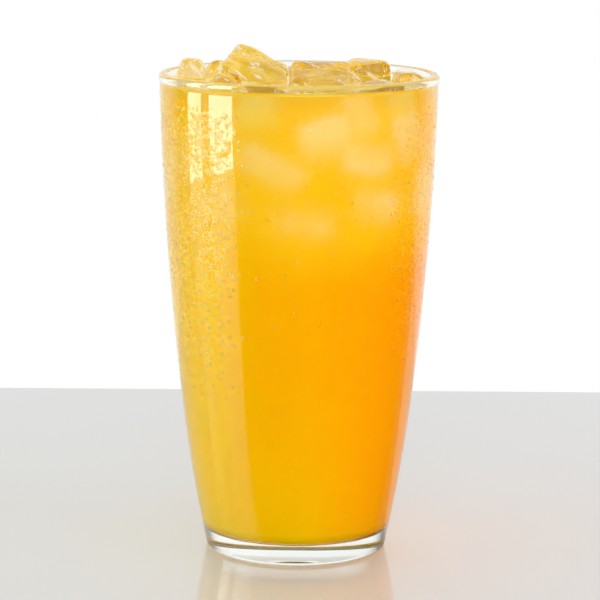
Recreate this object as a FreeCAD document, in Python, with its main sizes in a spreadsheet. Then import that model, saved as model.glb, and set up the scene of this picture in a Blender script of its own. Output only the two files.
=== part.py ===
"""Tall glass of orangeade with ice, as a parametric FreeCAD document in millimetres.

The glass stands on z = 0 with its axis on Z. It is a blank turned from an outer
profile, less a cavity turned from an inner one. The drink is the same cavity up to
its level, cut round the ice that floats in it. Ice is tapered blocks with melted
edges, which lean as they float.
"""
import FreeCAD
import Part
import Sketcher
import math
import os

DIMENSIONS = {
    # The glass
    "height": 150.0,           # foot to lip
    "rim_radius": 43.4,        # outside of the bead round the lip
    "lip_rounding": 1.3,       # half the thickness of the lip, which is fully round
    "bead_bulge": 0.3,         # how far the bead stands out from the wall
    "bead_height": 2.9,
    "waist_radius": 35.8,      # outside, where the wall starts to curve in to the foot
    "waist_height": 45.0,
    "foot_radius": 28.2,
    "foot_rounding": 1.6,
    "flare_radius": 480.0,     # curve of the wall between the foot and the waist
    "wall": 2.5,
    "foot_wall": 2.6,
    "floor_thickness": 6.5,
    "floor_rounding": 5.0,
    "punt_radius": 23.0,       # shallow dome under the foot
    "punt_height": 1.2,
    # The drink and its ice
    "liquid_drop": 2.5,        # lip to liquid
    "ice_rounding": 2.0,
    "ice_wall_gap": 0.3,       # closest that ice comes to the glass
}

# Ice that breaks the surface. A block's place is its bearing in degrees from +X, and its
# reach, as a share of the bore's radius, with its middle a lift above the liquid's level.
# Its width and depth are those of its broad lower end. It narrows upwards by the taper
# angle, and leans by yaw, pitch and roll.
ICE_COLUMNS = ("bearing", "reach", "lift", "width", "depth", "tall",
               "taper", "yaw", "pitch", "roll")
ICE = {
    "ice_peak": (160.6, 0.406, -1.6, 20.0, 19.0, 15.0, 3.6, -8, 23, 24),
    "ice_middle": (-68.8, 0.408, -3.0, 20.0, 19.0, 16.0, 3.2, -4, 2, 20),
    "ice_right": (17.2, 0.540, -2.5, 17.2, 16.1, 17.0, 7.4, 8, 1, -2),
    "ice_left": (184.3, 0.820, -1.0, 10.3, 11.5, 15.0, 5.1, 4, 3, -6),
    "ice_left_back": (139.1, 0.842, -1.2, 7.9, 8.4, 10.0, 2.3, 30, 10, 6),
    "ice_left_front": (219.0, 0.702, -1.7, 8.4, 9.4, 10.0, 2.6, -25, 8, 12),
    "ice_far_right": (-11.8, 0.834, -1.3, 9.4, 11.5, 9.0, 3.2, 12, 6, 6),
    "ice_back": (84.7, 0.666, -7.0, 16.8, 15.8, 17.0, 2.7, 10, 6, -6),
    "ice_back_right": (50.2, 0.800, -5.5, 12.6, 12.6, 14.0, 2.5, -30, -6, -8),
    "ice_front": (253.2, 0.808, -4.9, 11.5, 10.5, 12.0, 2.5, -20, -6, 8),
    "ice_front_right": (-41.7, 0.798, -5.0, 11.5, 12.6, 13.0, 2.6, 35, -6, 8),
}

SHEET = "Sizes"
START, END, CENTRE = 1, 2, 3           # the points of a sketch's line or arc
ORIGIN_GEOMETRY, H_AXIS, V_AXIS = -1, -1, -2
CUTTER_MARGIN = 20.0                   # how far a cavity runs up past the lip
SAME = 1e-4                            # sizes this near are the same


class Term:
    """A number, together with the formula on the spreadsheet that gives it."""

    def __init__(self, number, text):
        self.number = number
        self.text = text

    def __add__(self, other):
        other = as_term(other)
        return Term(self.number + other.number, f"({self.text} + {other.text})")

    def __sub__(self, other):
        other = as_term(other)
        return Term(self.number - other.number, f"({self.text} - {other.text})")

    def __mul__(self, other):
        other = as_term(other)
        return Term(self.number * other.number, f"({self.text} * {other.text})")

    def __truediv__(self, other):
        other = as_term(other)
        return Term(self.number / other.number, f"({self.text} / {other.text})")

    def cosine(self):
        return Term(math.cos(math.radians(self.number)), f"cos({self.text} * 1 deg)")

    def sine(self):
        return Term(math.sin(math.radians(self.number)), f"sin({self.text} * 1 deg)")


def as_term(value):
    return value if isinstance(value, Term) else Term(float(value), repr(float(value)))


def make_sheet(doc):
    """Put every driving dimension on the sheet, and return a term for each one."""
    sheet = doc.addObject("Spreadsheet::Sheet", SHEET)
    rows = dict(DIMENSIONS)
    for label, values in ICE.items():
        for column, value in zip(ICE_COLUMNS, values):
            rows[f"{label}_{column}"] = float(value)
    terms = {}
    for row, (alias, value) in enumerate(rows.items(), start=1):
        sheet.set(f"A{row}", alias)
        sheet.set(f"B{row}", str(value))
        sheet.setAlias(f"B{row}", alias)
        terms[alias] = Term(value, f"{SHEET}.{alias}")
    doc.recompute()
    return terms


class Outline:
    """A closed outline in a body's sketch, drawn corner by corner with bound sizes."""

    def __init__(self, body, name, plane="XZ_Plane"):
        self.sketch = body.newObject("Sketcher::SketchObject", name)
        self.sketch.AttachmentSupport = [(origin_plane(body, plane), "")]
        self.sketch.MapMode = "FlatFace"
        self.edges = []

    def bind(self, rule, term):
        index = self.sketch.addConstraint(rule)
        self.sketch.setExpression(f"Constraints[{index}]", term.text)

    def line(self, start, end):
        edge = self.sketch.addGeometry(Part.LineSegment(vector(start), vector(end)), False)
        self.edges.append((edge, start, START, END))
        return edge

    def arc(self, start, end, bow):
        """An arc whose middle stands the number bow to the right of its chord.

        A sketch counts every arc anticlockwise, so one that bows to the left is
        drawn from its far end.
        """
        a, b = vector(start), vector(end)
        side = FreeCAD.Vector(b.y - a.y, a.x - b.x, 0).normalize()
        edge = self.sketch.addGeometry(Part.Arc(a, (a + b) / 2 + side * bow, b), False)
        self.edges.append((edge, start, START, END) if bow > 0 else (edge, start, END, START))
        return edge

    def close(self, smooth=()):
        """Join the edges end to end, and pin every corner; smooth names tangent joints."""
        for edge, following in zip(self.edges, self.edges[1:] + self.edges[:1]):
            kind = "Tangent" if (edge[0], following[0]) in smooth else "Coincident"
            joint = Sketcher.Constraint(kind, edge[0], edge[3], following[0], following[2])
            self.sketch.addConstraint(joint)
            self.pin(following[0], following[2], following[1])

    def pin(self, edge, point, corner):
        """Hold a point of an edge at its corner's distances from the axes."""
        for kind, axis, term in (("DistanceX", V_AXIS, corner[0]), ("DistanceY", H_AXIS, corner[1])):
            if term.number == 0:
                self.sketch.addConstraint(Sketcher.Constraint("PointOnObject", edge, point, axis))
            else:
                distance = Sketcher.Constraint(kind, ORIGIN_GEOMETRY, START, edge, point, term.number)
                self.bind(distance, term)

    def radius(self, edge, term):
        self.bind(Sketcher.Constraint("Radius", edge, term.number), term)

    def centre_on_axis(self, edge):
        self.sketch.addConstraint(Sketcher.Constraint("PointOnObject", edge, CENTRE, V_AXIS))


def vector(corner):
    return FreeCAD.Vector(corner[0].number, corner[1].number, 0)


def origin_plane(body, role):
    return next(item for item in body.Origin.OriginFeatures if item.Role == role)


def turn(body, outline):
    """Revolve an outline once round the body's Z axis."""
    revolution = body.newObject("PartDesign::Revolution", outline.sketch.Name + "_turned")
    revolution.Profile = outline.sketch
    revolution.ReferenceAxis = (outline.sketch, ["V_Axis"])
    revolution.Angle = 360
    return revolution


def round_circle(doc, body, radius, height, rounding, name):
    """Round the one circular edge of the body that has this radius at this height."""
    doc.recompute()
    base = body.Tip
    names = [f"Edge{i}" for i, edge in enumerate(base.Shape.Edges, start=1)
             if is_circle(edge, radius.number, height.number)]
    fillet = body.newObject("PartDesign::Fillet", name)
    fillet.Base = (base, names)
    fillet.setExpression("Radius", rounding.text)


def is_circle(edge, radius, height):
    if edge.Degenerated or not isinstance(edge.Curve, Part.Circle):
        return False
    circle = edge.Curve
    return abs(circle.Radius - radius) < SAME and abs(circle.Center.z - height) < SAME


def make_glass_blank(doc, size):
    """The glass's outside, solid: domed foot, curved wall and the bead round the lip."""
    body = doc.addObject("PartDesign::Body", "glass_blank")
    outline = Outline(body, "outer_profile")
    zero = as_term(0)
    rim, lip = size["rim_radius"], size["lip_rounding"]
    height = size["height"]
    foot = (size["foot_radius"], zero)
    waist = (size["waist_radius"], size["waist_height"])
    bead_foot = (rim - size["bead_bulge"], height - size["bead_height"])
    bead_side = (rim, height - lip)
    lip_top = (rim - lip, height)
    punt_edge = (size["punt_radius"], zero)
    punt_top = (zero, size["punt_height"])
    outline.line(punt_edge, foot)
    lower_wall = outline.arc(foot, waist, 0.5)
    upper_wall = outline.arc(waist, bead_foot, 1.0)
    bead = outline.arc(bead_foot, bead_side, 0.1)
    lip_arc = outline.arc(bead_side, lip_top, lip.number * 0.29)
    outline.line(lip_top, (zero, height))
    outline.line((zero, height), punt_top)
    punt = outline.arc(punt_top, punt_edge, -0.1)
    outline.close(smooth={(lower_wall, upper_wall), (bead, lip_arc)})
    outline.radius(lower_wall, size["flare_radius"])
    outline.radius(lip_arc, lip)
    outline.centre_on_axis(punt)
    turn(body, outline)
    round_circle(doc, body, foot[0], foot[1], size["foot_rounding"], "foot_rounded")
    return body


def make_cavity(doc, size, name, inset):
    """The glass's inside as a solid that runs out past the lip, drawn in by an inset."""
    body = doc.addObject("PartDesign::Body", name)
    outline = Outline(body, name + "_profile")
    zero = as_term(0)
    lip, height = size["lip_rounding"], size["height"]
    bore = bore_radius(size) - inset
    floor_height = size["floor_thickness"] + inset
    flare = (size["waist_radius"] - size["foot_radius"]) / size["waist_height"]
    floor_edge = (size["foot_radius"] + flare * floor_height - size["foot_wall"] - inset,
                  floor_height)
    waist = (size["waist_radius"] - size["wall"] - inset, size["waist_height"])
    mouth = (bore, height - lip)
    lip_top = (bore + lip, height)
    outline.line((zero, floor_height), floor_edge)
    lower_wall = outline.arc(floor_edge, waist, 0.4)
    upper_wall = outline.arc(waist, mouth, 1.0)
    lip_arc = outline.arc(mouth, lip_top, -lip.number * 0.29)
    outline.line(lip_top, (lip_top[0], height + CUTTER_MARGIN))
    outline.line((lip_top[0], height + CUTTER_MARGIN), (zero, height + CUTTER_MARGIN))
    outline.line((zero, height + CUTTER_MARGIN), (zero, floor_height))
    outline.close(smooth={(lower_wall, upper_wall)})
    outline.radius(lower_wall, size["flare_radius"] - size["wall"] - inset)
    outline.radius(lip_arc, lip)
    turn(body, outline)
    round_circle(doc, body, floor_edge[0], floor_edge[1], size["floor_rounding"],
                 name + "_rounded")
    return body


def bore_radius(size):
    """Inside radius of the glass just under its lip."""
    return size["rim_radius"] - size["lip_rounding"] * 2


def make_ice_block(doc, size, label):
    """One block of ice where it floats: tapered, with every edge melted round."""
    body = doc.addObject("PartDesign::Body", label + "_block")
    ice = {column: size[f"{label}_{column}"] for column in ICE_COLUMNS}
    outline = Outline(body, label + "_broad_end", plane="XY_Plane")
    half_width, half_depth = ice["width"] / 2, ice["depth"] / 2
    minus = as_term(-1)
    corners = [(half_width * minus, half_depth * minus), (half_width, half_depth * minus),
               (half_width, half_depth), (half_width * minus, half_depth)]
    for start, end in zip(corners, corners[1:] + corners[:1]):
        outline.line(start, end)
    outline.close()
    outline.sketch.setExpression(".AttachmentOffset.Base.z", (ice["tall"] * -0.5).text)
    pad = body.newObject("PartDesign::Pad", label + "_tapered")
    pad.Profile = outline.sketch
    pad.setExpression("Length", ice["tall"].text)
    pad.setExpression("TaperAngle", (ice["taper"] * minus).text)
    melted = body.newObject("PartDesign::Fillet", label + "_melted")
    melted.Base = (pad, [""])
    melted.UseAllEdges = True
    melted.setExpression("Radius", size["ice_rounding"].text)
    place_ice(body, size, ice)
    return body


def place_ice(body, size, ice):
    reach = ice["reach"] * bore_radius(size)
    level = size["height"] - size["liquid_drop"]
    x, y = reach * ice["bearing"].cosine(), reach * ice["bearing"].sine()
    spot = f"create(<<vector>>; {x.text}; {y.text}; {(level + ice['lift']).text})"
    lean = f"create(<<rotation>>; {ice['yaw'].text}; {ice['pitch'].text}; {ice['roll'].text})"
    body.setExpression("Placement", f"create(<<placement>>; {spot}; {lean})")


def boolean(doc, kind, name, base, tool):
    result = doc.addObject(f"Part::{kind}", name)
    result.Base = base
    result.Tool = tool
    result.Label = name
    return result


def make_ice(doc, size, room):
    """Every block, kept inside the room that the glass leaves and clear of the last ones."""
    pieces = []
    for label in ICE:
        block = make_ice_block(doc, size, label)
        if not pieces:
            pieces.append(boolean(doc, "Common", label, block, room))
            continue
        inside = boolean(doc, "Common", label + "_inside", block, room)
        taken = doc.addObject("Part::Compound", label + "_neighbours")
        taken.Links = list(pieces)
        pieces.append(boolean(doc, "Cut", label, inside, taken))
    return pieces


def make_drink(doc, size, cavity, ice):
    """The cavity up to the liquid's level, cut round the ice."""
    below = doc.addObject("Part::Cylinder", "below_level")
    below.setExpression("Radius", size["rim_radius"].text)
    below.setExpression("Height", (size["height"] - size["liquid_drop"]).text)
    fill = boolean(doc, "Common", "filled_cavity", cavity, below)
    floating = doc.addObject("Part::Compound", "floating_ice")
    floating.Links = list(ice)
    return boolean(doc, "Cut", "orangeade", fill, floating)


def check(doc, parts):
    """Stop if anything failed to build."""
    for item in doc.Objects:
        if {"Invalid", "Error"} & set(item.State):
            raise RuntimeError(f"{item.Name} did not build: {item.State}")
    for part in parts:
        shape = part.Shape
        if shape.isNull() or not shape.isValid() or len(shape.Solids) != 1:
            raise RuntimeError(f"{part.Label} is not one valid solid")
        if shape.Volume <= 0:
            raise RuntimeError(f"{part.Label} is inside out")


def main():
    doc = FreeCAD.newDocument("orangeade")
    size = make_sheet(doc)
    blank = make_glass_blank(doc, size)
    cavity = make_cavity(doc, size, "cavity", as_term(0))
    glass = boolean(doc, "Cut", "glass", blank, cavity)
    ice_room = make_cavity(doc, size, "ice_room", size["ice_wall_gap"])
    ice = make_ice(doc, size, ice_room)
    drink = make_drink(doc, size, cavity, ice)
    doc.recompute()
    parts = [glass, drink] + ice
    check(doc, parts)
    os.makedirs("parts", exist_ok=True)
    for part in parts:
        part.Shape.exportStep(f"parts/{part.Label}.step")
        print(f"{part.Label}: {part.Shape.Volume / 1000:.2f} cm3")


main()
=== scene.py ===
"""Looks of the glass of orangeade: smooth glass, cloudy drink, melting ice and condensation.

The scene is in metres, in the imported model's frame. Sizes of the glass, the drink and its
profiles are in millimetres, and so are the lists of sunken ice and drops. A profile is a
row of complex numbers, radius + height * 1j.
"""

import cmath
import math
import random

import bmesh
import bpy
import numpy as np
from mathutils import Euler, Matrix, Vector, noise
from mathutils.bvhtree import BVHTree


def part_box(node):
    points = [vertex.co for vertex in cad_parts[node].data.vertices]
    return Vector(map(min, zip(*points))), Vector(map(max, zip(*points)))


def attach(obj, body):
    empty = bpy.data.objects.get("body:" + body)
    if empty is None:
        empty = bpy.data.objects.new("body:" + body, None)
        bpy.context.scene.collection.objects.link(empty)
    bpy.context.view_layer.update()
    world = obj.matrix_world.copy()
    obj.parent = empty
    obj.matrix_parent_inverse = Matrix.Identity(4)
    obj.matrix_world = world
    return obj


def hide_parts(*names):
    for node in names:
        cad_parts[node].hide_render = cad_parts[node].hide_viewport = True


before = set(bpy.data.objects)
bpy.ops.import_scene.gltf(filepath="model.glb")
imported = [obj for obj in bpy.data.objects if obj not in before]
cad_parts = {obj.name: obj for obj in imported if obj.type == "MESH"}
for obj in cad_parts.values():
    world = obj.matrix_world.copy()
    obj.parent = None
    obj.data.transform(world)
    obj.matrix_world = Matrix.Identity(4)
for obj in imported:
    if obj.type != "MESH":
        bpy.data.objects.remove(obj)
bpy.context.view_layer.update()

MM = 0.001
RIM_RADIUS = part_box("glass")[1].x / MM
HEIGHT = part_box("glass")[1].z / MM
FLOOR_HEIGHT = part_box("orangeade")[0].z / MM
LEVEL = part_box("orangeade")[1].z / MM

# The glass's other sizes in mm, as in its solid
LIP_ROUNDING = 1.3
BEAD_BULGE = 0.3
BEAD_HEIGHT = 2.9
WAIST = 35.8 + 45.0j
FOOT_RADIUS = 28.2
FOOT_ROUNDING = 1.6
FLARE_RADIUS = 480.0
WALL = 2.5
FOOT_WALL = 2.6
FLOOR_ROUNDING = 5.0
PUNT_RADIUS = 23.0
PUNT_HEIGHT = 1.2

# The drink's own sizes
REACH = 0.25               # how far its piece reaches into the glass's wall
MENISCUS_RISE = 0.25
MENISCUS_WIDTH = 1.3
MENISCUS_GAP = 0.3         # the wall's last point lies at least this far below its top

# Steps along the profiles, and round
SEGMENTS = 256
GLASS_STEPS = 72
DRINK_STEPS = 108
PUNT_STEPS = 12
BEAD_STEPS = 5
LIP_STEPS = 14
CORNER_STEPS = 8
MENISCUS_STEPS = 8
SURFACE_STEPS = 14

CORNER_CLEARING = 1.05     # how far a rounding clears the path of points, over its length
WALL_FOOT = 2.0            # above this height, up to the lip, the outside is all wall
ICE_NODES = sorted(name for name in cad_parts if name.startswith("ice_"))


# ---------------------------------------------------------------- profiles

def arc(start, end, half_turn, steps):
    """Points after start, to end, on an arc that turns left by half_turn each side of its chord."""
    chord = end - start
    if abs(half_turn) < 1e-9:
        return [start + chord * i / steps for i in range(1, steps + 1)]
    points = []
    for i in range(1, steps + 1):
        turned = half_turn * i / steps
        reach = math.sin(turned) / math.sin(half_turn)
        points.append(start + chord * reach * cmath.exp(1j * (turned - half_turn)))
    return points


def tangent_arc(start, tangent, end, steps):
    """Points of the arc that leaves start along tangent, and its direction at end."""
    half_turn = cmath.phase((end - start) / tangent)
    direction = (end - start) * cmath.exp(1j * half_turn)
    return arc(start, end, half_turn, steps), direction / abs(direction)


def wall_curve(foot, waist, top, flare_radius, steps):
    """The wall from foot to top: one arc to the waist and a second that runs on from it."""
    half_turn = math.asin(abs(waist - foot) / (2 * flare_radius))
    lower = arc(foot, waist, half_turn, steps // 3)
    tangent = (waist - foot) * cmath.exp(1j * half_turn)
    upper, _ = tangent_arc(waist, tangent, top, steps)
    return [foot] + lower + upper


def rounded_corner(before, path, radius):
    """The path with its first point, a corner met from the point before, rounded off."""
    corner = path[0]
    incoming = (corner - before) / abs(corner - before)
    outgoing = (path[1] - corner) / abs(path[1] - corner)
    half_turn = cmath.phase(outgoing / incoming) / 2
    length = radius * math.tan(abs(half_turn))
    kept = [point for point in path if abs(point - corner) > length * CORNER_CLEARING]
    start = corner - incoming * length
    end = corner + outgoing * length
    return [start] + arc(start, end, half_turn, CORNER_STEPS) + kept


def outer_profile():
    """From the middle of the foot's underside, round the outside and over the lip."""
    foot = complex(FOOT_RADIUS, 0)
    punt_top = complex(0, PUNT_HEIGHT)
    punt_edge = complex(PUNT_RADIUS, 0)
    bead_foot = complex(RIM_RADIUS - BEAD_BULGE, HEIGHT - BEAD_HEIGHT)
    bead_side = complex(RIM_RADIUS, HEIGHT - LIP_ROUNDING)
    mouth = complex(RIM_RADIUS - 2 * LIP_ROUNDING, HEIGHT - LIP_ROUNDING)
    punt, _ = tangent_arc(punt_top, 1, punt_edge, PUNT_STEPS)
    wall = wall_curve(foot, WAIST, bead_foot, FLARE_RADIUS, GLASS_STEPS)
    wall = rounded_corner(punt_edge, wall, FOOT_ROUNDING)
    bead_turn = cmath.phase(1j / (bead_side - bead_foot))
    bead = arc(bead_foot, bead_side, bead_turn, BEAD_STEPS)
    lip = arc(bead_side, mouth, math.pi / 2, LIP_STEPS)
    return [punt_top] + punt + wall + bead + lip


def inner_profile(inset, steps=GLASS_STEPS):
    """From the middle of the cavity's floor up its wall to the mouth, set in by some mm."""
    flare = (WAIST.real - FOOT_RADIUS) / WAIST.imag
    floor_height = FLOOR_HEIGHT + inset
    floor_radius = FOOT_RADIUS + flare * floor_height - FOOT_WALL - inset
    waist = WAIST - WALL - inset
    mouth = complex(RIM_RADIUS - 2 * LIP_ROUNDING - inset, HEIGHT - LIP_ROUNDING)
    centre = complex(0, floor_height)
    wall = wall_curve(complex(floor_radius, floor_height), waist, mouth,
                      FLARE_RADIUS - WALL - inset, steps)
    return [centre] + rounded_corner(centre, wall, FLOOR_ROUNDING)


def drink_profile():
    """Up the cavity's wall, just inside the glass, then over the meniscus to the axis."""
    wall_top = LEVEL + MENISCUS_RISE
    wall = [point for point in inner_profile(-REACH, DRINK_STEPS)
            if point.imag < wall_top - MENISCUS_GAP]
    edge = wall[-1].real
    meniscus = []
    for i in range(MENISCUS_STEPS + 1):
        share = i / MENISCUS_STEPS
        drop = MENISCUS_RISE * (1 - (1 - share) ** 3)
        meniscus.append(complex(edge - MENISCUS_WIDTH * share, wall_top - drop))
    inner_radius = edge - MENISCUS_WIDTH
    surface = [complex(inner_radius * (1 - i / SURFACE_STEPS), LEVEL)
               for i in range(1, SURFACE_STEPS + 1)]
    return wall + meniscus + surface


OUTER_CURVE = [point for point in outer_profile()
               if WALL_FOOT < point.imag < HEIGHT - LIP_ROUNDING]
BORE_CURVE = [point for point in inner_profile(0)
              if point.imag > FLOOR_HEIGHT + FLOOR_ROUNDING]


def radius_at(height, curve):
    """The radius of a rising profile at a height, both in mm."""
    return float(np.interp(height, [point.imag for point in curve],
                           [point.real for point in curve]))


# ---------------------------------------------------------------- meshes

def new_object(name, data):
    """An object in the scene for a mesh, a lamp or a camera."""
    made = bpy.data.objects.new(name, data)
    bpy.context.scene.collection.objects.link(made)
    return made


def finished(name, mesh):
    """A new object in the scene from a bmesh."""
    data = bpy.data.meshes.new(name)
    mesh.to_mesh(data)
    mesh.free()
    return new_object(name, data)


def join_rings(mesh, lower, upper):
    """Smooth faces between two rings of points, either of which may be a single point."""
    steps = max(len(lower), len(upper))
    for i in range(steps):
        after = (i + 1) % steps
        corners = [lower[i % len(lower)], lower[after % len(lower)],
                   upper[after % len(upper)], upper[i % len(upper)]]
        mesh.faces.new(list(dict.fromkeys(corners))).smooth = True


def lathe(name, profile):
    """A closed smooth mesh from a profile, in mm, that starts and ends on the axis."""
    mesh = bmesh.new()
    rings = []
    for point in profile:
        if abs(point.real) < 1e-6:
            rings.append([mesh.verts.new((0, 0, point.imag * MM))])
            continue
        ring = []
        for i in range(SEGMENTS):
            angle = 2 * math.pi * i / SEGMENTS
            ring.append(mesh.verts.new((point.real * math.cos(angle) * MM,
                                        point.real * math.sin(angle) * MM,
                                        point.imag * MM)))
        rings.append(ring)
    for lower, upper in zip(rings, rings[1:]):
        join_rings(mesh, lower, upper)
    bmesh.ops.recalc_face_normals(mesh, faces=mesh.faces)
    return finished(name, mesh)


# ---------------------------------------------------------------- materials

WHITE = (1, 1, 1)
GLASS_INDEX = 1.5                  # how strongly each bends light
WATER_INDEX = 1.33
ICE_INDEX = 1.31
DRINK_IN_GLASS = 1.34 / 1.5        # the drink's index over that of the glass round it

# Fine dew on the glass, in metres. A pair says where it begins and where it is full.
DEW_ABOVE_FOOT = (0.045, 0.115)
DEW_BELOW_LIP = (0.146, 0.134)
DEW_AT_LEFT = (-0.016, -0.027)
DEW_AT_RIGHT = (0.026, 0.038)
SPARSE, LEFT_SHARE, RIGHT_SHARE = 0.008, 0.62, 0.36       # of the cells that hold a bead
FINE_CELLS, COARSE_CELLS = 1400.0, 700.0                  # to a metre
FINE_BEAD, COARSE_BEAD = 0.00006, 0.00009                 # heights of the beads
BARE_ROUGHNESS, BEAD_ROUGHNESS = 0.01, 0.28
BEAD_RIM = 0.4                     # of a bead's height, over which its roughness sets in

# The drink's colours
DEEP_ORANGE = (0.97, 0.51, 0.0003)
# Painted light: a yellower orange at the foot, standing in for light bounced up from the floor
FLOOR_GLOW_PAINTED_ORANGE = (0.97, 0.59, 0.0003)
# Painted light and shade: yellower on the windows' side (-X), redder on the far side (+X)
PAINTED_LIT_SIDE_YELLOW = (0.98, 0.64, 0.001)
PAINTED_FAR_SIDE_ORANGE = (0.97, 0.45, 0.0003)
ICY_ORANGE = (0.97, 0.61, 0.006)
PALE_ORANGE = (0.97, 0.73, 0.26)
TOP_ORANGE = (0.98, 0.58, 0.02)
TOP_YELLOW = (0.98, 0.68, 0.08)
# Painted shade: a darker amber just under the brim, to hold down the light there
PAINTED_BRIM_SHADE = (0.86, 0.54, 0.03)
AMBER = (0.78, 0.61, 0.07)
PALE_AMBER = (0.92, 0.80, 0.34)
LAMP_TINT = (0.82, 0.62, 0.15)     # of lamps' light, through each side of the cloudy drink

# Where those colours run into each other, in metres
CLOUD_DRIFT = 0.024                # how far clouds shift the levels of the next two
ABOVE_FOOT = (0.020, 0.085)
AMONG_ICE = (0.098, 0.120)
UNDER_BRIM = ((LEVEL - 8) * MM, (LEVEL - 1.5) * MM)
# Where the painted light of the -X side and the painted shade of the +X side set in
TOWARDS_PAINTED_LIT_SIDE = (-0.008, -0.026)
TOWARDS_PAINTED_FAR_SIDE = (0.0, 0.030)
PALENESS = "paleness"              # the drink's mesh attribute for ice near its side

FROST_EDGE = (0.57, 0.65)          # of the noise that makes the ice's white streaks
FROST_SHARE = 0.9


class Nodes:
    """A node tree, with short ways to add and join nodes."""

    def __init__(self, tree):
        self.tree = tree
        tree.nodes.clear()

    def add(self, kind, **settings):
        node = self.tree.nodes.new("ShaderNode" + kind)
        for key, value in settings.items():
            setattr(node, key, value)
        return node

    def join(self, source, target):
        self.tree.links.new(source, target)

    def feed(self, value, target):
        """Join a socket to the target, or set the target to a number or a colour."""
        if isinstance(value, bpy.types.NodeSocket):
            self.join(value, target)
        elif isinstance(value, tuple):
            target.default_value = (*value, 1)
        else:
            target.default_value = value

    def maths(self, operation, *values, clamp=False):
        node = self.add("Math", operation=operation, use_clamp=clamp)
        for value, target in zip(values, node.inputs):
            self.feed(value, target)
        return node.outputs[0]

    def parts(self, vector):
        """The sockets X, Y and Z of a vector or a colour."""
        split = self.add("SeparateXYZ")
        self.join(vector, split.inputs[0])
        return split.outputs

    def span(self, value, low, high, to_low=0.0, to_high=1.0):
        """A value run smoothly from one range to another, and held at its ends."""
        node = self.add("MapRange", interpolation_type="SMOOTHSTEP")
        self.join(value, node.inputs["Value"])
        for key, number in zip(("From Min", "From Max", "To Min", "To Max"),
                               (low, high, to_low, to_high)):
            node.inputs[key].default_value = number
        return node.outputs["Result"]

    def blend(self, share, first, second):
        """Two colours, each a tuple or a socket, mixed by a share."""
        node = self.add("Mix", data_type="RGBA")
        factor, first_colour, second_colour = node.inputs[0], node.inputs[6], node.inputs[7]
        self.join(share, factor)
        self.feed(first, first_colour)
        self.feed(second, second_colour)
        return node.outputs[2]


class Shading(Nodes):
    """The nodes of a new material."""

    def __init__(self, name):
        self.material = bpy.data.materials.new(name)
        self.material.use_nodes = True
        super().__init__(self.material.node_tree)
        self.output = self.add("OutputMaterial")

    def show(self, shader):
        """End the material with this shader."""
        self.join(shader.outputs[0], self.output.inputs[0])
        return self.material

    def lets_lamps_through(self, shader, tint=WHITE):
        """Show the shader, but give lamps a way through it, in full or tinted."""
        clear = self.add("BsdfTransparent")
        clear.inputs["Color"].default_value = (*tint, 1)
        to_lamp = self.add("LightPath").outputs["Is Shadow Ray"]
        return self.show(self.mix(to_lamp, shader, clear))

    def principled(self, **values):
        node = self.add("BsdfPrincipled")
        for key, value in values.items():
            node.inputs[key.replace("_", " ")].default_value = value
        return node

    def mix(self, share, first, second):
        """Two shaders mixed by a share."""
        node = self.add("MixShader")
        self.join(share, node.inputs[0])
        self.join(first.outputs[0], node.inputs[1])
        self.join(second.outputs[0], node.inputs[2])
        return node

    def place(self):
        return self.add("TexCoord").outputs["Object"]

    def noise(self, place, scale, detail=2.0, roughness=0.5):
        node = self.add("TexNoise")
        self.join(place, node.inputs["Vector"])
        node.inputs["Scale"].default_value = scale
        node.inputs["Detail"].default_value = detail
        node.inputs["Roughness"].default_value = roughness
        return node.outputs["Fac"]

    def bump(self, height, distance, strength=1.0, normal=None):
        """A normal for relief of this height, over another relief where one is given."""
        node = self.add("Bump")
        if normal is not None:
            self.join(normal, node.inputs["Normal"])
        self.join(height, node.inputs["Height"])
        node.inputs["Distance"].default_value = distance
        node.inputs["Strength"].default_value = strength
        return node.outputs["Normal"]


def glass_material():
    """Clear soda glass with the faint green of its thick foot."""
    shading = Shading("clear_glass")
    shader = shading.principled(Base_Color=(0.955, 0.995, 0.97, 1), Roughness=0.0,
                                IOR=GLASS_INDEX, Transmission_Weight=1.0)
    ripple = shading.noise(shading.place(), scale=60.0, detail=1.0)
    normal = shading.bump(ripple, distance=0.0002, strength=0.25)
    shading.join(normal, shader.inputs["Normal"])
    return shading.lets_lamps_through(shader)


def dew_crowding(shading, place):
    """The share of cells with a bead: most at both sides, few on the face between.

    It falls towards the rim and the foot, and is patchy.
    """
    parts = shading.parts(place)
    cold = shading.maths("MULTIPLY", shading.span(parts["Z"], *DEW_ABOVE_FOOT),
                         shading.span(parts["Z"], *DEW_BELOW_LIP))
    cloud = shading.noise(place, scale=55.0)
    patches = shading.span(cloud, 0.35, 0.60, to_low=0.35)
    left = shading.span(parts["X"], *DEW_AT_LEFT, SPARSE, LEFT_SHARE)
    right = shading.span(parts["X"], *DEW_AT_RIGHT, SPARSE, RIGHT_SHARE)
    sides = shading.maths("MAXIMUM", left, right)
    return shading.maths("MULTIPLY", shading.maths("MULTIPLY", cold, patches), sides)


def dew_beads(shading, place, scale, crowding):
    """Round beads of many sizes, in a share of the cells, as heights from 0 to 1."""
    cells = shading.add("TexVoronoi")
    shading.join(place, cells.inputs["Vector"])
    cells.inputs["Scale"].default_value = scale
    chance = shading.parts(cells.outputs["Color"])
    reach = shading.span(chance["X"], 0.0, 1.0, to_low=0.35, to_high=0.8)
    share = shading.maths("DIVIDE", cells.outputs["Distance"], reach)
    dome = shading.maths("SUBTRACT", 1.0, shading.maths("MULTIPLY", share, share), clamp=True)
    present = shading.maths("LESS_THAN", chance["Y"], crowding)
    return shading.maths("MULTIPLY", dome, present)


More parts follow.
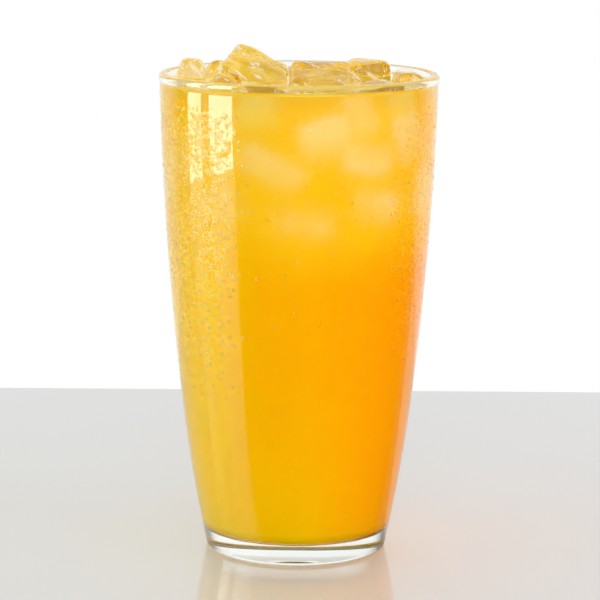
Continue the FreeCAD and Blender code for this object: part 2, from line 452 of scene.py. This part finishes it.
def dewy_glass_material():
    """The glass's outside, with fine and coarse beads of dew."""
    shading = Shading("dewy_glass")
    shader = shading.principled(Base_Color=(0.98, 1.0, 0.985, 1), IOR=GLASS_INDEX,
                                Transmission_Weight=1.0)
    place = shading.place()
    crowding = dew_crowding(shading, place)
    fine = dew_beads(shading, place, FINE_CELLS, crowding)
    coarse = dew_beads(shading, place, COARSE_CELLS, crowding)
    normal = shading.bump(fine, FINE_BEAD)
    normal = shading.bump(coarse, COARSE_BEAD, normal=normal)
    shading.join(normal, shader.inputs["Normal"])
    wet = shading.maths("MAXIMUM", fine, coarse)
    roughness = shading.span(wet, 0.0, BEAD_RIM, BARE_ROUGHNESS, BEAD_ROUGHNESS)
    shading.join(roughness, shader.inputs["Roughness"])
    return shading.lets_lamps_through(shader)


def water_material():
    """The clear water of the drops."""
    shading = Shading("water")
    shader = shading.principled(Base_Color=(1, 1, 1, 1), Roughness=0.15, IOR=WATER_INDEX,
                                Transmission_Weight=1.0)
    return shading.lets_lamps_through(shader)


def drink_colour(shading):
    """Painted yellower towards the foot, as light the floor would throw up into it; deep above
    that, yellower among the ice and pale where ice lies at the glass.

    It is painted yellower towards -X, the windows' side, as if lit there, and painted redder
    towards +X, as if shaded there and lit through the drink.
    """
    place = shading.place()
    parts = shading.parts(place)
    cloud = shading.noise(place, scale=45.0)
    level = shading.maths("MULTIPLY_ADD", cloud, CLOUD_DRIFT, parts["Z"])
    # Painted floor-bounce light: yellower below, deep above
    body = shading.blend(shading.span(level, *ABOVE_FOOT), FLOOR_GLOW_PAINTED_ORANGE, DEEP_ORANGE)
    # Painted light towards -X and painted shade towards +X
    body = shading.blend(shading.span(parts["X"], *TOWARDS_PAINTED_LIT_SIDE), body, PAINTED_LIT_SIDE_YELLOW)
    body = shading.blend(shading.span(parts["X"], *TOWARDS_PAINTED_FAR_SIDE), body, PAINTED_FAR_SIDE_ORANGE)
    body = shading.blend(shading.span(level, *AMONG_ICE), body, ICY_ORANGE)
    # Painted shade, darker just under the brim
    body = shading.blend(shading.span(parts["Z"], *UNDER_BRIM), body, PAINTED_BRIM_SHADE)
    pale = shading.add("Attribute", attribute_name=PALENESS)
    return shading.blend(pale.outputs["Fac"], body, PALE_ORANGE)


def cloudy(shading):
    """The drink's scattering body, with its colour and no gloss of its own."""
    shader = shading.principled(Subsurface_Weight=0.6, Subsurface_Scale=0.014,
                                Subsurface_Radius=(1.0, 0.35, 0.1), Roughness=0.8,
                                Specular_IOR_Level=0.0)
    shading.join(drink_colour(shading), shader.inputs["Base Color"])
    return shader


def drink_side_material():
    """Cloudy orangeade against the glass."""
    shading = Shading("orangeade_side")
    return shading.lets_lamps_through(cloudy(shading), LAMP_TINT)


def drink_foot_material():
    """The drink's underside, which the glass mirrors away when seen along it."""
    shading = Shading("orangeade_foot")
    mirror = shading.add("BsdfGlossy")
    mirror.inputs["Roughness"].default_value = 0.0
    mirror.inputs["Color"].default_value = (1, 1, 1, 1)
    fresnel = shading.add("Fresnel")
    fresnel.inputs["IOR"].default_value = DRINK_IN_GLASS
    body = shading.mix(fresnel.outputs[0], cloudy(shading), mirror)
    return shading.lets_lamps_through(body, LAMP_TINT)


def drink_top_material():
    """The drink's open surface: wisps of paler pulp under a wet skin."""
    shading = Shading("orangeade_top")
    shader = shading.principled(Roughness=0.06, IOR=WATER_INDEX)
    place = shading.place()
    cloud = shading.span(shading.noise(place, scale=90.0, detail=3.0), 0.35, 0.65)
    shading.join(shading.blend(cloud, TOP_ORANGE, TOP_YELLOW), shader.inputs["Base Color"])
    ripple = shading.noise(place, scale=160.0)
    normal = shading.bump(ripple, distance=0.0004, strength=0.5)
    shading.join(normal, shader.inputs["Normal"])
    return shading.lets_lamps_through(shader, LAMP_TINT)


def drink_hollow_material():
    """The drink right round a floating block, seen through its ice."""
    shading = Shading("orangeade_hollow")
    shader = shading.principled(Roughness=0.8, Specular_IOR_Level=0.0)
    mottle = shading.noise(shading.place(), scale=120.0, detail=3.0)
    colour = shading.blend(shading.span(mottle, 0.35, 0.65), AMBER, PALE_AMBER)
    shading.join(colour, shader.inputs["Base Color"])
    return shading.lets_lamps_through(shader, LAMP_TINT)


def ice_material():
    """Clear wet ice, rippled by melting, with white frosty streaks."""
    shading = Shading("clear_ice")
    clear = shading.principled(Base_Color=(0.99, 0.93, 0.72, 1), Roughness=0.02, IOR=ICE_INDEX,
                               Transmission_Weight=1.0)
    frost = shading.principled(Base_Color=(0.95, 0.94, 0.9, 1), Roughness=0.35,
                               Transmission_Weight=0.35)
    place = shading.place()
    ripple = shading.noise(place, scale=170.0, detail=3.0, roughness=0.55)
    normal = shading.bump(ripple, distance=0.0009, strength=0.6)
    shading.join(normal, clear.inputs["Normal"])
    shading.join(normal, frost.inputs["Normal"])
    stretched = shading.add("Mapping", vector_type="TEXTURE")
    shading.join(place, stretched.inputs["Vector"])
    stretched.inputs["Rotation"].default_value = (0.1, 0.7, 0.2)
    stretched.inputs["Scale"].default_value = (3.2, 1.0, 0.6)
    streaks = shading.noise(stretched.outputs[0], scale=260.0, detail=4.0, roughness=0.6)
    share = shading.maths("MULTIPLY", shading.span(streaks, *FROST_EDGE), FROST_SHARE)
    return shading.lets_lamps_through(shading.mix(share, clear, frost))


# ---------------------------------------------------------------- glass and drink

DEWY_FROM = 9.0            # mm above the foot, where the dewy look starts
TOP_STRIP = 0.9            # mm of the drink's side, at its top, with the look of its surface
HOLLOW_FIT = 0.97          # a hollow's size over its ice block's
SIDE, TOP, FOOT, HOLLOW = range(4)         # the drink's material slots


def ride_and_slot(piece, replaced=None):
    """Fix the piece to the part's body, in place of a solid where one is named."""
    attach(piece, "root")
    if replaced:
        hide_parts(replaced)
    return piece


def make_glass():
    """One closed lathe: clear inside and foot, dewy outside."""
    clear, dewy = 0, 1
    piece = lathe("glass_tumbler", outer_profile() + inner_profile(0)[::-1][1:])
    piece.data.materials.append(glass_material())
    piece.data.materials.append(dewy_glass_material())
    low, high = DEWY_FROM * MM, (HEIGHT - BEAD_HEIGHT) * MM
    for face in piece.data.polygons:
        centre = face.center
        outward = face.normal.x * centre.x + face.normal.y * centre.y > 0
        face.material_index = dewy if outward and low < centre.z < high else clear
    return ride_and_slot(piece, "glass")


def make_drink(ice_pieces):
    """The drink up to its meniscus, with a hollow where each floating block sits."""
    piece = lathe("orangeade_drink", drink_profile())
    for look in (drink_side_material, drink_top_material, drink_foot_material,
                 drink_hollow_material):
        piece.data.materials.append(look())
    top = (LEVEL - TOP_STRIP) * MM
    foot = (FLOOR_HEIGHT + FLOOR_ROUNDING) * MM
    for face in piece.data.polygons:
        if face.center.z > top:
            face.material_index = TOP
        elif face.center.z < foot:
            face.material_index = FOOT
        else:
            face.material_index = SIDE
    cut_hollows(piece, ice_pieces)
    tree = ice_behind_wall(ice_pieces)
    chance = random.Random(LOOK_SEED)
    layer = piece.data.attributes.new(PALENESS, "FLOAT", "POINT")
    values = [paleness_at(vertex.co, tree, chance) for vertex in piece.data.vertices]
    layer.data.foreach_set("value", values)
    return ride_and_slot(piece, "orangeade")


def cut_hollows(piece, cutters):
    """Take every cutter, drawn in slightly, out of the piece."""
    for cutter in cutters:
        tool = cutter.copy()
        tool.data = cutter.data.copy()
        bpy.context.scene.collection.objects.link(tool)
        tool.data.materials.clear()
        for material in piece.data.materials:
            tool.data.materials.append(material)
        for face in tool.data.polygons:
            face.material_index = HOLLOW
        middle = sum((Vector(corner) for corner in tool.bound_box), Vector()) / 8
        tool.data.transform(Matrix.Translation(middle) @ Matrix.Scale(HOLLOW_FIT, 4)
                            @ Matrix.Translation(-middle))
        step = piece.modifiers.new("hollow", "BOOLEAN")
        step.operation = "DIFFERENCE"
        step.solver = "MANIFOLD"
        step.object = tool
        apply_modifiers(piece)
        bpy.data.objects.remove(tool)
    piece.data.shade_smooth()


def apply_modifiers(piece):
    """Bake the piece's modifiers into its mesh."""
    depsgraph = bpy.context.evaluated_depsgraph_get()
    shaped = bpy.data.meshes.new_from_object(piece.evaluated_get(depsgraph))
    piece.modifiers.clear()
    old = piece.data
    piece.data = shaped
    bpy.data.meshes.remove(old)


# ---------------------------------------------------------------- sunken ice

# Ice sunk against the front of the glass: degrees round from -Y towards +X, height, how
# deep its middle lies behind the wall, size, and turns about X, Y and Z in degrees.
FRONT_ICE = [
    (11, 135.5, 7.5, (16, 14, 14), (20, -12, 10)),
    (27, 141.0, 7.0, (9, 12, 15), (0, -25, 25)),
    (-12, 126.5, 8.0, (20, 13, 11), (25, 28, -5)),
    (30, 127.0, 7.5, (17, 14, 11), (-15, 8, 35)),
    (52, 134.0, 7.0, (13, 14, 17), (10, -20, 60)),
    (37, 114.5, 8.5, (16, 14, 12), (30, 10, 30)),
    (3, 108.0, 9.5, (17, 14, 10), (-25, 5, 0)),
    (66, 116.0, 7.5, (12, 13, 16), (0, 15, 65)),
    (-36, 137.0, 11.0, (15, 14, 15), (15, 10, -40)),
    (-58, 127.0, 10.5, (14, 14, 17), (-10, 20, -55)),
    (-37, 114.0, 10.5, (16, 14, 12), (20, -15, -30)),
]
# The rest, spread round the bearings that the front list leaves, each within these ranges
SIDE_ICE_SEED = 11
SIDE_ICE_COUNT = 30
SIDE_ICE_FROM, SIDE_ICE_TO = 78, 285
SIDE_ICE_SIZES = ((12, 18), (12, 16), (11, 16))
SIDE_ICE_TURNS = ((-30, 30), (-30, 30), (0, 90))
SIDE_ICE_HEIGHTS = (108, 140)
SIDE_ICE_DEPTHS = (7.0, 9.5)

BLOCK_SQUARENESS = 5               # 2 would make a ball, and large numbers a sharp box
BLOCK_MELT = ((120, 0.0012), (300, 0.0004))       # noise: waves to a metre, and depth

# Looks into the drink, in metres: each ray starts inside the wall and ends at its reach
LOOK_SEED = 5
LOOKS = 10                         # rays from each point
LOOK_SPREAD = 0.30
LOOK_START, LOOK_REACH = 0.001, 0.014
CLOUD_DEPTH = 0.0030               # how far into the drink ice still shows
NO_SIDE = 0.02                     # nearer the axis than this, a point isn't on the side


def sunken_ice():
    """The front blocks and, at random, such blocks round the sides and the back."""
    chance = random.Random(SIDE_ICE_SEED)
    blocks = list(FRONT_ICE)
    for i in range(SIDE_ICE_COUNT):
        bearing = SIDE_ICE_FROM + (SIDE_ICE_TO - SIDE_ICE_FROM) * (i + 0.5) / SIDE_ICE_COUNT
        size = [chance.uniform(*limits) for limits in SIDE_ICE_SIZES]
        turns = [chance.uniform(*limits) for limits in SIDE_ICE_TURNS]
        height = chance.uniform(*SIDE_ICE_HEIGHTS)
        depth = chance.uniform(*SIDE_ICE_DEPTHS)
        blocks.append((bearing, height, depth, size, turns))
    return blocks


def add_block(blocks, bearing, height, depth, size, turns):
    """Add one rounded, melted block to a bmesh."""
    radius = radius_at(height, BORE_CURVE) - depth
    turn = math.radians(bearing)
    middle = Vector((radius * math.sin(turn), -radius * math.cos(turn), height)) * MM
    spin = Euler([math.radians(angle) for angle in turns]).to_matrix()
    made = bmesh.ops.create_icosphere(blocks, subdivisions=4, radius=1.0)
    for vertex in made["verts"]:
        way = vertex.co.normalized()
        way *= sum(abs(part) ** BLOCK_SQUARENESS for part in way) ** (-1 / BLOCK_SQUARENESS)
        reach = spin @ (Vector((way.x * size[0], way.y * size[1], way.z * size[2])) * (MM / 2))
        spot = middle + reach
        melt = sum(noise.noise(spot * waves) * deep for waves, deep in BLOCK_MELT)
        vertex.co = spot + reach.normalized() * melt


def ice_behind_wall(floating):
    """What a look into the drink can meet: the sunken blocks and the floating ones."""
    blocks = bmesh.new()
    for block in sunken_ice():
        add_block(blocks, *block)
    for piece in floating:
        blocks.from_mesh(piece.data)
    tree = BVHTree.FromBMesh(blocks)
    blocks.free()
    return tree


def paleness_at(point, tree, chance):
    """How far the ice behind the wall pales the drink at a point of its side, from 0 to 1."""
    inward = Vector((-point.x, -point.y, 0))
    if inward.length < NO_SIDE:
        return 0.0
    inward.normalize()
    total = 0.0
    for _ in range(LOOKS):
        spread = Vector((chance.gauss(0, 1), chance.gauss(0, 1), chance.gauss(0, 1)))
        way = (inward + spread * LOOK_SPREAD).normalized()
        spot, _, _, distance = tree.ray_cast(point - inward * LOOK_START, way, LOOK_REACH)
        if spot is not None:
            total += math.exp(-max(0.0, distance - LOOK_START) / CLOUD_DEPTH)
    return total / LOOKS


# ---------------------------------------------------------------- floating ice

WELD_GAP = 0.00002                 # sizes in metres
ICE_VOXEL = 0.00045
MELT_ROUNDS = 50
MELT_DEPTH = 0.0013
DENT_WAVES, RIPPLE_WAVES = 85, 260         # noise, to a metre
RIPPLE_SHARE = 0.25                # of the ripples' depth to the dents'


def fit_in_box(piece, box):
    """Stretch the piece to fill a box, which smoothing has drawn it in from."""
    places = np.array([vertex.co for vertex in piece.data.vertices])
    low, high = places.min(axis=0), places.max(axis=0)
    target_low, target_high = np.array(box[0]), np.array(box[1])
    places = target_low + (places - low) / (high - low) * (target_high - target_low)
    piece.data.vertices.foreach_set("co", places.ravel())
    piece.data.update()


def remesh_and_relax(piece):
    """Give the piece a fine even mesh and round its edges off."""
    weld = piece.modifiers.new("weld", "WELD")
    weld.merge_threshold = WELD_GAP
    remesh = piece.modifiers.new("remesh", "REMESH")
    remesh.mode = "VOXEL"
    remesh.voxel_size = ICE_VOXEL
    relax = piece.modifiers.new("relax", "SMOOTH")
    relax.factor = 0.8
    relax.iterations = MELT_ROUNDS
    apply_modifiers(piece)


def make_ice(node_name, material):
    """A floating block: its solid remeshed finely, then melted in uneven dents."""
    piece = new_object(node_name + "_melted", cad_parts[node_name].data.copy())
    piece.data.materials.clear()
    remesh_and_relax(piece)
    normals = [vertex.normal.copy() for vertex in piece.data.vertices]
    for vertex, normal in zip(piece.data.vertices, normals):
        dent = noise.noise(vertex.co * DENT_WAVES)
        dent += noise.noise(vertex.co * RIPPLE_WAVES) * RIPPLE_SHARE
        vertex.co += normal * dent * MELT_DEPTH
    fit_in_box(piece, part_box(node_name))
    piece.data.shade_smooth()
    piece.data.materials.append(material)
    return ride_and_slot(piece, node_name)


# ---------------------------------------------------------------- drops

DROP_SEED = 8
DROP_COUNT = 350
DROP_RADII = (0.22, 0.6, 0.3)      # mm: smallest, largest and most usual
DROP_TALL = 0.32                   # height over radius
DROP_SUNK = 0.00002                # metres that a drop's foot lies inside the wall
DROP_CUTS, BIG_DROP_CUTS = (16, 6), (24, 8)       # segments round, and rings up

# Where drops form: heights in mm, and patches by a noise of so many waves to a metre
DROPS_FROM, DROPS_FULL, DROPS_TO = 45.0, 105.0, 145.0
PATCH_WAVES = 55
PATCH_EDGE = 0.35
BETWEEN_PATCHES = 0.25

# Drops that stand out: degrees round from -Y towards +X, height, radius, length over
# width and lean in degrees
BIG_DROPS = [
    (-31, 129.5, 1.3, 2.1, 28),
    (-29, 131.6, 0.8, 1.8, 62),
    (-25, 73.0, 0.8, 1.0, 0),
    (0, 97.5, 0.7, 1.0, 0),
    (-20, 112.0, 0.9, 0.8, 10),
]


def on_wall(bearing, height):
    """A place on the glass's outside, in metres, and the directions out, round and up."""
    radius = radius_at(height, OUTER_CURVE)
    slope = (radius_at(height + 1, OUTER_CURVE) - radius_at(height - 1, OUTER_CURVE)) / 2
    around = Vector((math.cos(bearing), math.sin(bearing), 0))
    place = Vector((around.x * radius, around.y * radius, height)) * MM
    up = Vector((around.x * slope, around.y * slope, 1)).normalized()
    side = Vector((-around.y, around.x, 0))
    return place, side.cross(up), side, up


def bead_of_water(mesh, bearing, height, radius, cuts, long=1.0, lean=0.0):
    """A closed flattened dome of water on the glass, its foot just inside the wall.

    Long stretches it sideways, and lean then turns it on the wall, in radians.
    """
    segments, rings = cuts
    place, out, side, up = on_wall(bearing, height)
    across = side * math.cos(lean) + up * math.sin(lean)
    along = up * math.cos(lean) - side * math.sin(lean)
    base = place - out * DROP_SUNK
    peak = out * (radius * DROP_TALL)
    previous = None
    for i in range(rings):
        rise = math.pi / 2 * i / rings
        ring = []
        for j in range(segments):
            turn = 2 * math.pi * j / segments
            flat = (across * math.cos(turn) * long + along * math.sin(turn)) * radius
            ring.append(mesh.verts.new(base + flat * math.cos(rise) + peak * math.sin(rise)))
        if previous is None:
            mesh.faces.new(ring[::-1]).smooth = False
        else:
            join_rings(mesh, previous, ring)
        previous = ring
    tip = mesh.verts.new(base + peak)
    join_rings(mesh, previous, [tip])


def smooth(share):
    """A share held between 0 and 1, and eased in and out."""
    share = min(1.0, max(0.0, share))
    return share * share * (3 - 2 * share)


def dew_place(chance):
    """A bearing and height for a drop: dense and patchy above, sparse towards the foot."""
    while True:
        bearing = chance.uniform(0, 2 * math.pi)
        height = chance.uniform(DROPS_FROM, DROPS_TO)
        place, _, _, _ = on_wall(bearing, height)
        cold = smooth((height - DROPS_FROM) / (DROPS_FULL - DROPS_FROM))
        patch = smooth((noise.noise(place * PATCH_WAVES) + PATCH_EDGE) / (2 * PATCH_EDGE))
        if chance.random() < cold * (BETWEEN_PATCHES + (1 - BETWEEN_PATCHES) * patch):
            return bearing, height


def make_drops(material):
    """The larger drops that have run together, joined in one piece."""
    chance = random.Random(DROP_SEED)
    mesh = bmesh.new()
    for _ in range(DROP_COUNT):
        bearing, height = dew_place(chance)
        radius = chance.triangular(*DROP_RADII) * MM
        bead_of_water(mesh, bearing, height, radius, DROP_CUTS)
    for bearing, height, radius, long, lean in BIG_DROPS:
        turn = math.radians(bearing - 90)
        bead_of_water(mesh, turn, height, radius * MM, BIG_DROP_CUTS, long, math.radians(lean))
    piece = finished("condensation_drops", mesh)
    piece.data.materials.append(material)
    return ride_and_slot(piece)


# ---------------------------------------------------------------- stage

CAMERA_DISTANCE = 0.800            # level, from the glass's axis
CAMERA_HEIGHT = 0.2245
CAMERA_ASIDE = 0.0008
CAMERA_DOWN = 10.34                # degrees
CAMERA_ROLL = 0.45                 # degrees
CAMERA_LENS = 155.5                # mm, on a frame of this width
CAMERA_FRAME = 36

TABLE_FRONT, TABLE_BACK, TABLE_SIDE = -1.6, 0.227, 1.6
FLOOR_COLOUR = (0.74, 0.75, 0.81)
FLAG_COLOUR = (0.02, 0.02, 0.02)
FLAG_BEARING = 54.0                # degrees round from the camera's side towards -X
FLAG_EDGE = (-0.021, -0.013)       # metres along that bearing, where the flag fades out

ROOM_LIGHT = 0.68
ROOM_LEFT = (0.80, 0.98, 0.86)
ROOM_RIGHT = (1.0, 0.85, 0.80)
ROOM_SIDES = (-0.7, 0.7)           # X of a direction, over which left turns into right
BACKDROP_EDGE = (0.4, 0.7)         # Y of a direction, over which room turns into backdrop
DIM_FRONT = 0.02                   # how bright the room in front looks when it is mirrored
SEEN_THROUGH = 0.3                 # and when it is seen bent through the glass

# Lamps: degrees round from the camera's side towards -X, distance, height, width and
# height of the lamp, brightness and colour
WINDOWS = [
    ("window_front", 65.5, 0.62, 0.3, (0.243, 0.6), 10.0, WHITE),
    ("window_back", 93.0, 0.62, 0.3, (0.172, 0.6), 8.0, (1, 0.96, 0.88)),
]
SOFT_LAMPS = [
    ("key", -2.0, 1.3, 0.5, (1.0, 0.7), 2.15, (1, 0.97, 0.92)),
    ("right", -65.0, 1.4, 0.55, (1.0, 0.7), 2.15, (1, 0.76, 0.64)),
    ("left", 75.0, 0.8, 1.2, (0.5, 0.5), 0.9, (0.86, 1, 0.92)),
    ("back", 170.0, 1.1, 1.3, (0.9, 0.9), 1.6, WHITE),
]
AIM_HEIGHT = 0.3                   # lamps above this height are tilted down to face it


def make_camera():
    """A long lens in front of the glass, a little above it and turned slightly."""
    data = bpy.data.cameras.new("camera")
    data.lens = CAMERA_LENS
    data.sensor_width = CAMERA_FRAME
    camera = new_object("camera", data)
    lean = Euler((math.radians(90 - CAMERA_DOWN), 0, 0)).to_matrix().to_4x4()
    roll = Matrix.Rotation(math.radians(CAMERA_ROLL), 4, "Z")
    place = Matrix.Translation((CAMERA_ASIDE, -CAMERA_DISTANCE, CAMERA_HEIGHT))
    camera.matrix_world = place @ lean @ roll
    bpy.context.scene.camera = camera


def floor_material():
    """Pale and slightly polished.

    In front of the glass it is dark to what mirrors it, as beside a photographer's black
    flag. Past the edge of that flag, at the windows' side, it mirrors as pale as it is.
    """
    shading = Shading("pale_floor")
    shader = shading.principled(Base_Color=(*FLOOR_COLOUR, 1), Roughness=0.1)
    flagged = shading.principled(Base_Color=(*FLAG_COLOUR, 1), Roughness=0.1, IOR=2.2)
    matt = shading.principled(Base_Color=(*FLOOR_COLOUR, 1), Roughness=0.2,
                              Specular_IOR_Level=0.06)
    light_path = shading.add("LightPath").outputs
    mirrored = shading.maths("SUBTRACT", light_path["Is Glossy Ray"],
                             light_path["Is Transmission Ray"], clamp=True)
    along = shading.add("VectorMath", operation="DOT_PRODUCT")
    shading.join(shading.place(), along.inputs[0])
    turn = math.radians(FLAG_BEARING)
    along.inputs[1].default_value = (-math.cos(turn), math.sin(turn), 0)
    flag = shading.span(along.outputs["Value"], *FLAG_EDGE, to_low=1.0, to_high=0.0)
    return shading.show(shading.mix(mirrored, shader, shading.mix(flag, matt, flagged)))


def make_floor():
    """The table top, whose back edge shows behind the glass."""
    left, right = -TABLE_SIDE, TABLE_SIDE
    data = bpy.data.meshes.new("floor")
    data.from_pydata([(left, TABLE_FRONT, 0), (right, TABLE_FRONT, 0),
                      (right, TABLE_BACK, 0), (left, TABLE_BACK, 0)], [], [(0, 1, 2, 3)])
    data.materials.append(floor_material())
    new_object("floor", data)


def make_world():
    """A grey room to light by, with a white backdrop that the eye, glass and gloss see."""
    world = bpy.data.worlds.new("studio")
    bpy.context.scene.world = world
    world.use_nodes = True
    nodes = Nodes(world.node_tree)
    light_path = nodes.add("LightPath").outputs
    to_eye = light_path["Is Camera Ray"]
    bent = light_path["Is Transmission Ray"]
    direction = nodes.parts(nodes.add("TexCoord").outputs["Generated"])
    behind = nodes.span(direction["Y"], *BACKDROP_EDGE, to_low=DIM_FRONT)
    straight = nodes.maths("LESS_THAN", light_path["Diffuse Depth"], 0.5)
    bounced = nodes.maths("MAXIMUM", light_path["Is Glossy Ray"], bent)
    traced = nodes.maths("MULTIPLY", bounced, straight)
    untraced = nodes.maths("SUBTRACT", 1.0, traced)
    through = nodes.maths("MULTIPLY", bent, SEEN_THROUGH)
    seen = nodes.maths("MULTIPLY", traced, nodes.maths("MAXIMUM", behind, through))
    backdrop = nodes.maths("MAXIMUM", seen, to_eye)
    room = nodes.maths("MULTIPLY", untraced, ROOM_LIGHT)
    sides = nodes.blend(nodes.span(direction["X"], *ROOM_SIDES), ROOM_LEFT, ROOM_RIGHT)
    colour = nodes.blend(nodes.maths("SUBTRACT", untraced, to_eye), WHITE, sides)
    background = nodes.add("Background")
    nodes.join(colour, background.inputs["Color"])
    nodes.join(nodes.maths("MAXIMUM", backdrop, room), background.inputs["Strength"])
    nodes.join(background.outputs[0], nodes.add("OutputWorld").inputs[0])


def make_softbox(name, bearing, distance, height, size, brightness, colour):
    """A lamp of a given size and brightness that faces the glass."""
    data = bpy.data.lights.new(name, "AREA")
    data.shape = "RECTANGLE"
    data.size, data.size_y = size
    data.energy = brightness * math.pi * size[0] * size[1]
    data.color = colour
    lamp = new_object(name, data)
    turn = math.radians(bearing)
    lamp.location = (-distance * math.sin(turn), -distance * math.cos(turn), height)
    target = Vector((0, 0, min(height, AIM_HEIGHT)))
    lamp.rotation_euler = (target - lamp.location).to_track_quat("-Z", "Y").to_euler()
    return lamp


def make_lamps():
    """Two tall windows that the glass mirrors, and soft lamps above that light the drink."""
    for lamp in WINDOWS:
        window = make_softbox(*lamp)
        window.visible_diffuse = False
        window.visible_transmission = False
    for lamp in SOFT_LAMPS:
        make_softbox(*lamp).visible_glossy = False


def main():
    make_camera()
    make_world()
    make_floor()
    make_lamps()
    make_glass()
    ice = ice_material()
    ice_pieces = [make_ice(name, ice) for name in ICE_NODES]
    make_drink(ice_pieces)
    make_drops(water_material())
    bpy.context.scene.view_settings.view_transform = "Standard"


main()
